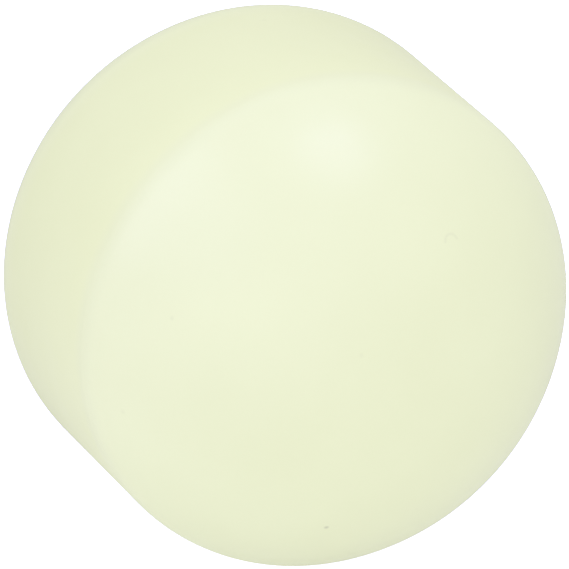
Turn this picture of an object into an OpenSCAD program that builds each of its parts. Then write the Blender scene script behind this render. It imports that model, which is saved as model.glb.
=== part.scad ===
// Cue ball with a straight band round its waist, in four pieces: two domes,
// the sleeve that they close, and a steel core at the centre.
// Millimetres. The origin is the centre of the ball, and Y is its axis: the
// front dome faces -Y and the rear dome +Y. Z is up, and the ball lies on its band.

/* [Ball] */
// Diameter over the domes, that of a standard pool ball
ball_d = 57.15; // [54:0.05:62]
// Diameter of the straight band round the waist
band_d = 52.2; // [46:0.1:56]
// Radius of the soft round between a dome and the band
rim_round = 6; // [1:0.5:12]

/* [Sleeve] */
// Bore of the waist sleeve, which the domes' spigots fill
bore_d = 40; // [32:0.5:44]
// Chamfer at each mouth of the bore
bore_chamfer = 0.6; // [0.2:0.1:1]

/* [Domes] */
// Clearance of a spigot in the bore, all round
spigot_clearance = 0.05; // [0.02:0.01:0.2]
// Gap for adhesive between the two spigots' end faces
end_gap = 0.2; // [0.1:0.1:1]
// Chamfer on the end of a spigot
spigot_chamfer = 0.8; // [0.2:0.1:1.5]
// Width of the adhesive groove round a spigot
groove_w = 1.6; // [0.8:0.1:2.4]
// Depth of the adhesive groove
groove_depth = 0.5; // [0.2:0.1:1]

/* [Core] */
// Diameter of the steel core, a one-inch bearing ball
core_d = 25.4; // [20:0.1:27]
// Clearance round the core in the domes' cups
core_clearance = 0.05; // [0.02:0.01:0.3]

/* [Hidden] */
ball_r = ball_d / 2;
band_r = band_d / 2;
// Distance of each rim from the middle: where the sphere is as wide as the band
rim_y = sqrt(pow(ball_r, 2) - pow(band_r, 2));
// Centre of the rim's round: its distance from the axis and from the middle
round_r = band_r - rim_round;
round_y = sqrt(pow(ball_r - rim_round, 2) - pow(round_r, 2));
spigot_d = bore_d - 2 * spigot_clearance;
cup_d = core_d + 2 * core_clearance;
// How far a spigot runs on into its dome, so that the two are one solid
root = 1;
// How far a cutter passes the face that it cuts
over = 1;
shell_colour = [0.93, 0.95, 0.82];
steel_colour = [0.62, 0.63, 0.65];
$fn = 96;

// Lays a shape that was turned about Z along the ball's axis, its top towards +Y
module lay_along_axis() {
    rotate([-90, 0, 0])
        children();
}

// One chamfer cutter, widest at the mouth of the bore
module bore_mouth() {
    translate([0, 0, rim_y - bore_chamfer])
        cylinder(d1 = bore_d, d2 = bore_d + 2 * (bore_chamfer + over), h = bore_chamfer + over);
}

// Spigot with a chamfered end, from the adhesive gap up into the dome
module spigot() {
    translate([0, 0, end_gap / 2])
        cylinder(d1 = spigot_d - 2 * spigot_chamfer, d2 = spigot_d, h = spigot_chamfer);
    translate([0, 0, end_gap / 2 + spigot_chamfer])
        cylinder(d = spigot_d, h = rim_y + root - end_gap / 2 - spigot_chamfer);
}

// Ring cutter for the adhesive groove, halfway along the spigot
module adhesive_groove() {
    translate([0, 0, (rim_y - groove_w) / 2])
        difference() {
            cylinder(d = bore_d + over, h = groove_w);
            translate([0, 0, -over])
                cylinder(d = spigot_d - 2 * groove_depth, h = groove_w + 2 * over);
        }
}

// Sector of the half section in which the round replaces the rim's sharp corner
module rim_sector() {
    reach = (ball_r + over) / (ball_r - rim_round);
    polygon([
        [round_r, round_y],
        [band_r + over, round_y],
        [band_r + over, reach * round_y],
        [reach * round_r, reach * round_y]
    ]);
}

// Half section past the middle: a quarter disc, cut straight by the band and rounded at the rim
module half_section() {
    difference() {
        intersection() {
            circle(d = ball_d);
            square([band_r, ball_r]);
        }
        rim_sector();
    }
    intersection() {
        translate([round_r, round_y])
            circle(r = rim_round);
        rim_sector();
    }
}

// The part of the ball past one rim
module cap() {
    rotate_extrude()
        intersection() {
            half_section();
            translate([0, rim_y])
                square([ball_r, ball_r]);
        }
}

// Everything between the two rims
module waist() {
    rotate_extrude()
        intersection() {
            union() {
                half_section();
                mirror([0, 1])
                    half_section();
            }
            translate([0, -rim_y])
                square([ball_r, 2 * rim_y]);
        }
}

// Cap and spigot in one piece, with a cup for the core in the spigot's end
module dome() {
    difference() {
        union() {
            cap();
            spigot();
        }
        sphere(d = cup_d);
        adhesive_groove();
    }
}

module waist_sleeve() {
    color(shell_colour)
        lay_along_axis()
            difference() {
                waist();
                cylinder(d = bore_d, h = 2 * (rim_y + over), center = true);
                bore_mouth();
                mirror([0, 0, 1])
                    bore_mouth();
            }
}

module front_dome() {
    color(shell_colour)
        lay_along_axis()
            mirror([0, 0, 1])
                dome();
}

module rear_dome() {
    color(shell_colour)
        lay_along_axis()
            dome();
}

module core_ball() {
    color(steel_colour)
        sphere(d = core_d);
}

waist_sleeve();
front_dome();
rear_dome();
core_ball();
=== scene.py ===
# A pale green cue ball with a straight band round its waist, on a white table.
# Two domes close the waist sleeve, and a steel core sits at the centre.
import math

import bmesh
import bpy
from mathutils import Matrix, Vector


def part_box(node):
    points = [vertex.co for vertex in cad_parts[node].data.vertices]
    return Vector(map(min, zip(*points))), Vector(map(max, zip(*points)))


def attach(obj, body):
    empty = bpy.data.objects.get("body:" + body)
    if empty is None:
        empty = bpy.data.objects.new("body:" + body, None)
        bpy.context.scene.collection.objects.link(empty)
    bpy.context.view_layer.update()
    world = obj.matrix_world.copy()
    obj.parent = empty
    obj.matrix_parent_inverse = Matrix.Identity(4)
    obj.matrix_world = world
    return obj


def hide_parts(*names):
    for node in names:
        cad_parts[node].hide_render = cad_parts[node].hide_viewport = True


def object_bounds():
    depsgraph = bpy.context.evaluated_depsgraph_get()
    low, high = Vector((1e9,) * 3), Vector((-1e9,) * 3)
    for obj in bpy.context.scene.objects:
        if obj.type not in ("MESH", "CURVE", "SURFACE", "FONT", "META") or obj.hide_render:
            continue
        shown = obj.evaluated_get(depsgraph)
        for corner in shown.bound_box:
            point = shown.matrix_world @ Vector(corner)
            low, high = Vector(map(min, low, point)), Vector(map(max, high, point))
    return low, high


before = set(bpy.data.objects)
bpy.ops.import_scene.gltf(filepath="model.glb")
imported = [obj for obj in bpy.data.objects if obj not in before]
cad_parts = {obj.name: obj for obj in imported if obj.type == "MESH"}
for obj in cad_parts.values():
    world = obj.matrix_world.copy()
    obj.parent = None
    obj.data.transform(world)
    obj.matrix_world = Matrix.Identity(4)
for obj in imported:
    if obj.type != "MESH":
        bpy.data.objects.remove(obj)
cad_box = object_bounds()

MM = 0.001

# ---------------------------------------------------------------- sizes, from the CAD frame

low, high = cad_box
BALL_R = (high.y - low.y) / 2
BAND_R = (high.z - low.z) / 2
RIM_Y = math.sqrt(BALL_R ** 2 - BAND_R ** 2)
CORE_R = (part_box("core_ball")[1].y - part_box("core_ball")[0].y) / 2
END_GAP = -2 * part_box("front_dome")[1].y

# Hidden joints of the shell, as the CAD model has them
BORE_R = 20.0 * MM
BORE_CHAMFER = 0.6 * MM
SPIGOT_R = 19.95 * MM
SPIGOT_CHAMFER = 0.8 * MM
GROOVE_W = 1.6 * MM
GROOVE_DEPTH = 0.5 * MM
CUP_R = CORE_R + 0.05 * MM

# The rim's round: an arc that meets the dome and the band, with a hairline seam on it
RIM_ROUND = 6.0 * MM
SEAM_GAP = 0.002 * MM
ROUND_CENTRE_R = BAND_R - RIM_ROUND
ROUND_CENTRE_Y = math.sqrt((BALL_R - RIM_ROUND) ** 2 - ROUND_CENTRE_R ** 2)
ROUND_START = math.atan2(ROUND_CENTRE_R, ROUND_CENTRE_Y)

# ---------------------------------------------------------------- surface and light settings

# The resin's tint is a little yellower on the band. Each tint darkens from the front rim to the rear
# one: that is painted shade, lit at the front and shaded at the rear
DOME_FRONT_LIT = (0.851, 0.889, 0.594)
DOME_REAR_SHADED = (0.821, 0.858, 0.560)
BAND_FRONT_LIT = (0.877, 0.916, 0.567)
BAND_REAR_SHADED = (0.815, 0.852, 0.526)
# What the tint is multiplied by at its deepest, and how far the mottling and the grain take it there
DEEPEST = (0.965, 0.965, 0.943)
CLOUD_SHARE = 0.5
GRAIN_SHARE = 0.35
# Width over which one tint turns into the other, inside each rim
BLEND_WIDTH = 3 * MM
DOME_ROUGHNESS = 0.33
BAND_ROUGHNESS = 0.36
# How far the smoothest and roughest patches differ from that
ROUGHNESS_SPAN = (-0.03, 0.04)
# Noise scales of the mottling, the grain, the rougher patches and the faint waviness
CLOUD_SCALE = 70
GRAIN_SCALE = 5000
PATCH_SCALE = 260
WAVE_SCALE = 420
WAVE_DEPTH = 0.005 * MM
SPECK_COLOUR = (0.10, 0.09, 0.07)
# Share of a speck's radius that is fully dark
SPECK_CORE = 0.3
# Azimuth, elevation, radius and depth of each mark
SPECKS = (
    (-11.5, -36.5, 0.34 * MM, 0.27),
    (-45.5, 13.5, 0.3 * MM, 0.05),
    (-6.5, 7, 0.3 * MM, 0.04),
    (-56.5, -8.5, 0.35 * MM, 0.04),
    (175.5, 75.5, 0.4 * MM, 0.03),
)
FIBRE = (18, 26, 0.75 * MM, 0.06)
FIBRE_WIDTH = 0.22 * MM
# Faint polishing rings, which fade out over their reach past each rim
RING_PITCH = 0.3 * MM
RING_REACH = 9 * MM
RING_DEPTH = 0.002 * MM
STEEL_TINTS = ((0.58, 0.59, 0.61), (0.66, 0.66, 0.67))
STEEL_ROUGHNESS = (0.18, 0.32)
STEEL_CLOUD_SCALE = 300
STEEL_PATCH_SCALE = 900

CAMERA_AZIMUTH = -21.97
CAMERA_ELEVATION = 21.94
CAMERA_DISTANCE = 35 * BALL_R
SENSOR_WIDTH = 36
# The frame is a little wider than the ball
FRAME_TO_BALL = 569 / 565.2

TABLE_HALF_WIDTH = 2.5
TABLE_TINTS = ((0.34, 0.34, 0.34), (0.36, 0.36, 0.36))
TABLE_CLOUD_SCALE = 8
# The table's own glow, a touch cool: the azimuth of its bright side, its strength on that side and
# on the far one, and how far from the middle it takes to reach them
TABLE_BRIGHT_SIDE = -22
TABLE_GLOW_FRONT = 0.60
TABLE_GLOW_BEHIND = 0.36
TABLE_GLOW_REACH = 30 * MM
TABLE_GLOW_COLOUR = (1.0, 1.0, 1.05)
# Over-exposed white, with more blue so that the light off the ball doesn't yellow the table under it
TABLE_SEEN = (2.2, 2.1, 3.4)
# Azimuth, elevation and strength of each side of the surround
SIDES = ((-140, -10, 0.57), (-22, -40, 0.84), (-60, 60, 0.68), (100, 0, 0.58), (90, 45, 0.38))
WHITE = (1.0, 1.0, 1.0)
COOL = (0.5, 0.5, 1.0)
# Azimuth, elevation, distance, width, height, power in watts and colour
SOFTBOXES = {
    "overhead_window": (42, 70, 0.9, 0.34, 0.34, 1.22, COOL),
    "left_window": (-98, 38, 0.9, 0.4, 0.8, 1.15, COOL),
    "left_front_window": (-60, 35, 0.9, 0.6, 0.6, 0.62, COOL),
    "front_softbox": (-10, 35, 1.2, 0.7, 0.7, 0.18, WHITE),
    "front_left_low_softbox": (-45, 10, 1.2, 0.7, 0.5, 0.73, WHITE),
    "right_front_softbox": (40, 25, 0.9, 0.6, 0.6, 0.36, WHITE),
    "back_softbox": (180, 60, 0.9, 0.6, 0.6, 0.24, WHITE),
}

# ---------------------------------------------------------------- mesh tools

# How finely each curve is divided
CROWN_RINGS = 44
AROUND = 8 * CROWN_RINGS
DOME_EDGE_STEPS = 12
BAND_EDGE_STEPS = 10
BAND_STEPS = 16
CUP_STEPS = 24
# A steeper angle between faces is shaded as a sharp edge
SHARP_ANGLE = math.radians(35)


def ring_points(radius, y, count):
    """Points of a circle about Y."""
    points = []
    for i in range(count):
        turn = 2 * math.pi * i / count
        points.append(Vector((radius * math.cos(turn), y, radius * math.sin(turn))))
    return points


def square_ring(step):
    """Grid cells of one square ring, in order round it, from its corner at angle 0."""
    cells = []
    for i in range(-step, step):
        cells.append((step, i))
    for i in range(step, -step, -1):
        cells.append((i, step))
    for i in range(step, -step, -1):
        cells.append((-step, i))
    for i in range(-step, step):
        cells.append((i, -step))
    return cells


def crown(mesh, polar_end):
    """A spherical cap of quads: the square rings of a grid, laid on circles. Returns its last ring."""
    grid = {(0, 0): mesh.verts.new((0, BALL_R, 0))}
    for step in range(1, CROWN_RINGS + 1):
        polar = polar_end * step / CROWN_RINGS
        cells = square_ring(step)
        circle = ring_points(BALL_R * math.sin(polar), BALL_R * math.cos(polar), len(cells))
        for cell, point in zip(cells, circle):
            grid[cell] = mesh.verts.new(point)
    for i in range(-CROWN_RINGS, CROWN_RINGS):
        for j in range(-CROWN_RINGS, CROWN_RINGS):
            corners = (grid[i, j], grid[i + 1, j], grid[i + 1, j + 1], grid[i, j + 1])
            mesh.faces.new(corners)
    return [grid[cell] for cell in square_ring(CROWN_RINGS)]


def lathe_on(mesh, ring, profile):
    """Carries a ring of vertices along (radius, y) points, and returns the last ring."""
    for radius, y in profile:
        following = [mesh.verts.new(p) for p in ring_points(radius, y, len(ring))]
        bridge(mesh, ring, following)
        ring = following
    return ring


def bridge(mesh, ring, following):
    """Joins two rings of the same number of vertices with quads."""
    count = len(ring)
    for i in range(count):
        j = (i + 1) % count
        mesh.faces.new((ring[i], ring[j], following[j], following[i]))


def arc(centre, radius, start, end, steps):
    """(radius, y) points of an arc in the half plane. Angles are from the Y axis."""
    points = []
    for i in range(1, steps + 1):
        angle = start + (end - start) * i / steps
        points.append((centre[0] + radius * math.sin(angle), centre[1] + radius * math.cos(angle)))
    return points


def rim_turn(y):
    """Angle from the Y axis at which the rim's round reaches a height along Y."""
    return math.acos((y - ROUND_CENTRE_Y) / RIM_ROUND)


def rim_arc(start, end, steps):
    """(radius, y) points along the rim's round."""
    return arc((ROUND_CENTRE_R, ROUND_CENTRE_Y), RIM_ROUND, start, end, steps)


def mirrored(profile):
    """The same points on the other side, in the opposite order."""
    return [(radius, -y) for radius, y in reversed(profile)]


def finish_mesh(mesh, name):
    """Turns a bmesh into a smooth-shaded object in the scene."""
    bmesh.ops.recalc_face_normals(mesh, faces=mesh.faces)
    data = bpy.data.meshes.new(name)
    mesh.to_mesh(data)
    mesh.free()
    data.shade_smooth()
    data.set_sharp_from_angle(angle=SHARP_ANGLE)
    piece = bpy.data.objects.new(name, data)
    bpy.context.scene.collection.objects.link(piece)
    return piece


# ---------------------------------------------------------------- pieces


def dome(name, side):
    """Dome and spigot in one solid. side is -1 for the front and 1 for the rear."""
    mesh = bmesh.new()
    shoulder = RIM_Y + SEAM_GAP
    ring = crown(mesh, ROUND_START)
    edge = rim_arc(ROUND_START, rim_turn(shoulder), DOME_EDGE_STEPS)
    groove_top = (shoulder + GROOVE_W) / 2
    groove_low = (shoulder - GROOVE_W) / 2
    spigot_end = END_GAP / 2
    cup_turn = math.acos(spigot_end / CUP_R)
    joint = [
        (SPIGOT_R, shoulder),
        (SPIGOT_R, groove_top),
        (SPIGOT_R - GROOVE_DEPTH, groove_top),
        (SPIGOT_R - GROOVE_DEPTH, groove_low),
        (SPIGOT_R, groove_low),
        (SPIGOT_R, spigot_end + SPIGOT_CHAMFER),
        (SPIGOT_R - SPIGOT_CHAMFER, spigot_end),
        (CUP_R * math.sin(cup_turn), spigot_end),
    ]
    cup = arc((0, 0), CUP_R, cup_turn, cup_turn / CUP_STEPS, CUP_STEPS - 1)
    ring = lathe_on(mesh, ring, edge + joint + cup)
    mesh.faces.new(ring)
    if side < 0:
        bmesh.ops.scale(mesh, vec=(1, -1, 1), verts=mesh.verts)
    return finish_mesh(mesh, name)


def sleeve(name):
    """The waist sleeve: the straight band with rounded rims outside, and a chamfered bore inside."""
    mesh = bmesh.new()
    end = RIM_Y - SEAM_GAP
    rim = rim_arc(math.pi / 2, rim_turn(end), BAND_EDGE_STEPS)
    bore = [
        (BORE_R + BORE_CHAMFER, end),
        (BORE_R, end - BORE_CHAMFER),
        (BORE_R, BORE_CHAMFER - end),
        (BORE_R + BORE_CHAMFER, -end),
    ]
    band = []
    for i in range(BAND_STEPS):
        band.append((BAND_R, ROUND_CENTRE_Y * (2 * i / BAND_STEPS - 1)))
    first = [mesh.verts.new(p) for p in ring_points(BAND_R, ROUND_CENTRE_Y, AROUND)]
    last = lathe_on(mesh, first, rim + bore + mirrored(rim) + band)
    bridge(mesh, last, first)
    return finish_mesh(mesh, name)


# ---------------------------------------------------------------- shader tools


def towards(azimuth, elevation):
    """Unit vector from the ball's centre, with azimuth 0 at -Y and 90 at +X."""
    a = math.radians(azimuth)
    e = math.radians(elevation)
    return Vector((math.sin(a) * math.cos(e), -math.cos(a) * math.cos(e), math.sin(e)))


class Shader:
    """A node tree, with short calls to add and join nodes."""

    def __init__(self, owner):
        owner.use_nodes = True
        self.nodes = owner.node_tree.nodes
        self.links = owner.node_tree.links
        self.place = self.nodes.new("ShaderNodeTexCoord")

    def join(self, source, target):
        self.links.new(source, target)

    def fill(self, socket, value):
        """Sets a socket to a number or vector, or joins it to an output."""
        if isinstance(value, bpy.types.NodeSocket):
            self.join(value, socket)
        else:
            socket.default_value = value

    def math(self, operation, *values):
        node = self.nodes.new("ShaderNodeMath")
        node.operation = operation
        for socket, value in zip(node.inputs, values):
            self.fill(socket, value)
        return node.outputs["Value"]

    def vector(self, operation, *values):
        node = self.nodes.new("ShaderNodeVectorMath")
        node.operation = operation
        for socket, value in zip(node.inputs, values):
            self.fill(socket, value)
        is_number = operation in ("DOT_PRODUCT", "DISTANCE")
        return node.outputs["Value" if is_number else "Vector"]

    def noise(self, scale, detail):
        node = self.nodes.new("ShaderNodeTexNoise")
        node.inputs["Scale"].default_value = scale
        node.inputs["Detail"].default_value = detail
        self.join(self.place.outputs["Object"], node.inputs["Vector"])
        return node.outputs["Fac"]

    def part(self, vector, axis):
        """One of a vector's X, Y and Z."""
        node = self.nodes.new("ShaderNodeSeparateXYZ")
        self.join(vector, node.inputs["Vector"])
        return node.outputs[axis]

    def uneven(self, place, pitch):
        """A value that wavers along one direction."""
        node = self.nodes.new("ShaderNodeTexNoise")
        node.noise_dimensions = "1D"
        node.inputs["Scale"].default_value = 1 / pitch
        self.join(place, node.inputs["W"])
        return node.outputs["Fac"]

    def spread(self, value, low, high, from_low=0.3, from_high=0.7):
        """Maps a value to a new range. The old one, if not given, is what noise mostly keeps to."""
        node = self.nodes.new("ShaderNodeMapRange")
        node.inputs["From Min"].default_value = from_low
        node.inputs["From Max"].default_value = from_high
        node.inputs["To Min"].default_value = low
        node.inputs["To Max"].default_value = high
        self.join(value, node.inputs["Value"])
        return node.outputs["Result"]

    def blend(self, factor, first, second):
        """A colour between two, which are colours or outputs of nodes."""
        node = self.nodes.new("ShaderNodeMix")
        node.data_type = "RGBA"
        sockets = [s for s in node.inputs if s.type == "RGBA"]
        for socket, value in zip(sockets, (first, second)):
            self.fill(socket, (*value, 1) if isinstance(value, tuple) else value)
        self.join(factor, node.inputs["Factor"])
        return next(s for s in node.outputs if s.type == "RGBA")

    def bump(self, height, distance, under=None):
        """A normal, raised on top of another bump's where one is given."""
        node = self.nodes.new("ShaderNodeBump")
        node.inputs["Distance"].default_value = distance
        self.join(height, node.inputs["Height"])
        if under:
            self.join(under, node.inputs["Normal"])
        return node.outputs["Normal"]

    def by_camera(self, unseen, seen):
        """One shader for light that strikes the ball, and another for the camera's view."""
        path = self.nodes.new("ShaderNodeLightPath")
        mix = self.nodes.new("ShaderNodeMixShader")
        self.join(path.outputs["Is Camera Ray"], mix.inputs["Fac"])
        self.join(unseen, mix.inputs[1])
        self.join(seen, mix.inputs[2])
        return mix.outputs["Shader"]


def principled(name, **values):
    """A new material, its shader tools and its Principled node."""
    material = bpy.data.materials.new(name)
    shader = Shader(material)
    surface = shader.nodes["Principled BSDF"]
    for socket, value in values.items():
        surface.inputs[socket.replace("_", " ")].default_value = value
    return material, shader, surface


# ---------------------------------------------------------------- materials


def speck_shade(s, unit, azimuth, elevation, radius, depth):
    """Darkness of a soft round speck, from 0 to depth."""
    away = s.vector("DISTANCE", unit, towards(azimuth, elevation))
    return s.spread(away, depth, 0, SPECK_CORE * radius / BALL_R, radius / BALL_R)


def fibre_shade(s, unit, azimuth, elevation, radius, depth):
    """Darkness of a fibre that lies in the top half of a ring."""
    away = s.vector("DISTANCE", unit, towards(azimuth, elevation))
    off_line = s.math("ABSOLUTE", s.math("SUBTRACT", away, radius / BALL_R))
    line = s.spread(off_line, depth, 0, 0, FIBRE_WIDTH / BALL_R)
    upper = s.math("GREATER_THAN", s.part(unit, "Z"), towards(azimuth, elevation).z)
    return s.math("MULTIPLY", line, upper)


def marks(s):
    """Darkness of the specks and the fibre, by their direction from the ball's centre."""
    unit = s.vector("NORMALIZE", s.place.outputs["Object"])
    total = fibre_shade(s, unit, *FIBRE)
    for speck in SPECKS:
        total = s.math("ADD", total, speck_shade(s, unit, *speck))
    return total


def resin(name, roughness):
    """Pale green resin: soft mottling, fine grain, a few specks, polishing rings by the rims, and
    painted shade that darkens it towards the rear rim.
    """
    material, s, surface = principled(name, IOR=1.5)
    along = s.part(s.place.outputs["Object"], "Y")
    from_middle = s.math("ABSOLUTE", along)
    past_band = s.spread(from_middle, 0, 1, RIM_Y - BLEND_WIDTH, RIM_Y)
    # Painted shade: the tint goes from its lit front value to its shaded rear value along the ball
    shade_to_rear = s.spread(along, 0, 1, -RIM_Y, RIM_Y)
    band_tint_with_shade = s.blend(shade_to_rear, BAND_FRONT_LIT, BAND_REAR_SHADED)
    plain = s.blend(past_band, band_tint_with_shade, s.blend(shade_to_rear, DOME_FRONT_LIT, DOME_REAR_SHADED))
    cloud = s.spread(s.noise(CLOUD_SCALE, 3), 0, CLOUD_SHARE)
    grain = s.spread(s.noise(GRAIN_SCALE, 1), 0, GRAIN_SHARE, 0, 1)
    tint = s.blend(s.math("ADD", cloud, grain), plain, s.vector("MULTIPLY", plain, DEEPEST))
    s.join(s.blend(marks(s), tint, SPECK_COLOUR), surface.inputs["Base Color"])
    smoothest, roughest = (roughness + change for change in ROUGHNESS_SPAN)
    s.join(s.spread(s.noise(PATCH_SCALE, 3), smoothest, roughest), surface.inputs["Roughness"])
    fade = s.spread(from_middle, 1, 0, RIM_Y, RIM_Y + RING_REACH)
    polish = s.bump(s.math("MULTIPLY", s.uneven(along, RING_PITCH), fade), RING_DEPTH)
    s.join(s.bump(s.noise(WAVE_SCALE, 2), WAVE_DEPTH, under=polish), surface.inputs["Normal"])
    return material


def ground_steel(name):
    """Ground bearing steel, for the core that the resin hides."""
    material, s, surface = principled(name, Metallic=1.0)
    s.join(s.spread(s.noise(STEEL_PATCH_SCALE, 3), *STEEL_ROUGHNESS), surface.inputs["Roughness"])
    s.join(s.blend(s.noise(STEEL_CLOUD_SCALE, 2), *STEEL_TINTS), surface.inputs["Base Color"])
    return material


def table_paint(name):
    """Pale grey to the ball and brighter on one side, but over-exposed white to the camera."""
    material, s, surface = principled(name, Roughness=0.8, Specular_IOR_Level=0.0)
    s.join(s.blend(s.noise(TABLE_CLOUD_SCALE, 2), *TABLE_TINTS), surface.inputs["Base Color"])
    forward = s.vector("DOT_PRODUCT", s.place.outputs["Object"], towards(TABLE_BRIGHT_SIDE, 0))
    glow = s.spread(forward, TABLE_GLOW_BEHIND, TABLE_GLOW_FRONT, -TABLE_GLOW_REACH, TABLE_GLOW_REACH)
    s.join(glow, surface.inputs["Emission Strength"])
    surface.inputs["Emission Color"].default_value = (*TABLE_GLOW_COLOUR, 1)
    seen = s.nodes.new("ShaderNodeBsdfDiffuse")
    seen.inputs["Color"].default_value = (*TABLE_SEEN, 1)
    output = s.nodes["Material Output"]
    s.join(s.by_camera(surface.outputs["BSDF"], seen.outputs["BSDF"]), output.inputs["Surface"])
    return material


# ---------------------------------------------------------------- the object

dome_resin = resin("dome_resin", DOME_ROUGHNESS)
band_resin = resin("band_resin", BAND_ROUGHNESS)

# Each new piece, the CAD node that it stands for, its material and a slot name
pieces = (
    (dome("front_dome_shell", -1), "front_dome", dome_resin, "dome_resin"),
    (dome("rear_dome_shell", 1), "rear_dome", dome_resin, "dome_resin"),
    (sleeve("waist_band_sleeve"), "waist_sleeve", band_resin, "band_resin"),
)
for piece, node, material, slot in pieces:
    piece.data.materials.append(material)
    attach(piece, "root")
    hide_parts(node)

cad_materials = {
    "core_ball": ground_steel("core_steel"),
    "front_dome": dome_resin,
    "rear_dome": dome_resin,
    "waist_sleeve": band_resin,
}
for node, material in cad_materials.items():
    for material_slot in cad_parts[node].material_slots:
        material_slot.material = material

# ---------------------------------------------------------------- table, light and camera


def table():
    """The flat top that the ball's band rests on."""
    mesh = bmesh.new()
    bmesh.ops.create_grid(mesh, x_segments=8, y_segments=8, size=TABLE_HALF_WIDTH)
    bmesh.ops.translate(mesh, vec=(0, 0, -BAND_R), verts=mesh.verts)
    top = finish_mesh(mesh, "table")
    top.data.materials.append(table_paint("table_paint"))


def aim(thing, place):
    """Puts a lamp or the camera at a place, facing the ball's centre."""
    thing.location = place
    thing.rotation_mode = "QUATERNION"
    thing.rotation_quaternion = place.to_track_quat("Z", "Y")


def softbox(name, azimuth, elevation, distance, width, height, power, colour):
    """A rectangular lamp that faces the ball."""
    light = bpy.data.lights.new(name, "AREA")
    light.shape = "RECTANGLE"
    light.size = width
    light.size_y = height
    light.energy = power
    light.color = colour
    box = bpy.data.objects.new(name, light)
    aim(box, distance * towards(azimuth, elevation))
    bpy.context.scene.collection.objects.link(box)


def studio_world():
    """A soft surround that is brighter on some sides, and plain white to the camera."""
    world = bpy.data.worlds.new("studio")
    s = Shader(world)
    surround = s.nodes["Background"]
    backdrop = s.nodes.new("ShaderNodeBackground")
    for background in (surround, backdrop):
        background.inputs["Color"].default_value = (1, 1, 1, 1)
        background.inputs["Strength"].default_value = 1
    strength = 0.0
    for azimuth, elevation, share in SIDES:
        facing = s.vector("DOT_PRODUCT", s.place.outputs["Generated"], towards(azimuth, elevation))
        lit = s.math("MULTIPLY", s.math("MAXIMUM", facing, 0.0), share)
        strength = s.math("ADD", lit, strength)
    s.join(strength, surround.inputs["Strength"])
    output = s.nodes["World Output"]
    sky = s.by_camera(surround.outputs["Background"], backdrop.outputs["Background"])
    s.join(sky, output.inputs["Surface"])
    bpy.context.scene.world = world


def camera():
    """A long lens that the ball all but fills."""
    lens = bpy.data.cameras.new("camera")
    lens.sensor_width = SENSOR_WIDTH
    lens.lens = SENSOR_WIDTH / 2 * CAMERA_DISTANCE / (BALL_R * FRAME_TO_BALL)
    lens.clip_start = 0.01
    lens.clip_end = 10
    eye = bpy.data.objects.new("camera", lens)
    aim(eye, CAMERA_DISTANCE * towards(CAMERA_AZIMUTH, CAMERA_ELEVATION))
    bpy.context.scene.collection.objects.link(eye)
    bpy.context.scene.camera = eye


table()
for box_name, settings in SOFTBOXES.items():
    softbox(box_name, *settings)
studio_world()
camera()
bpy.context.scene.view_settings.view_transform = "Standard"
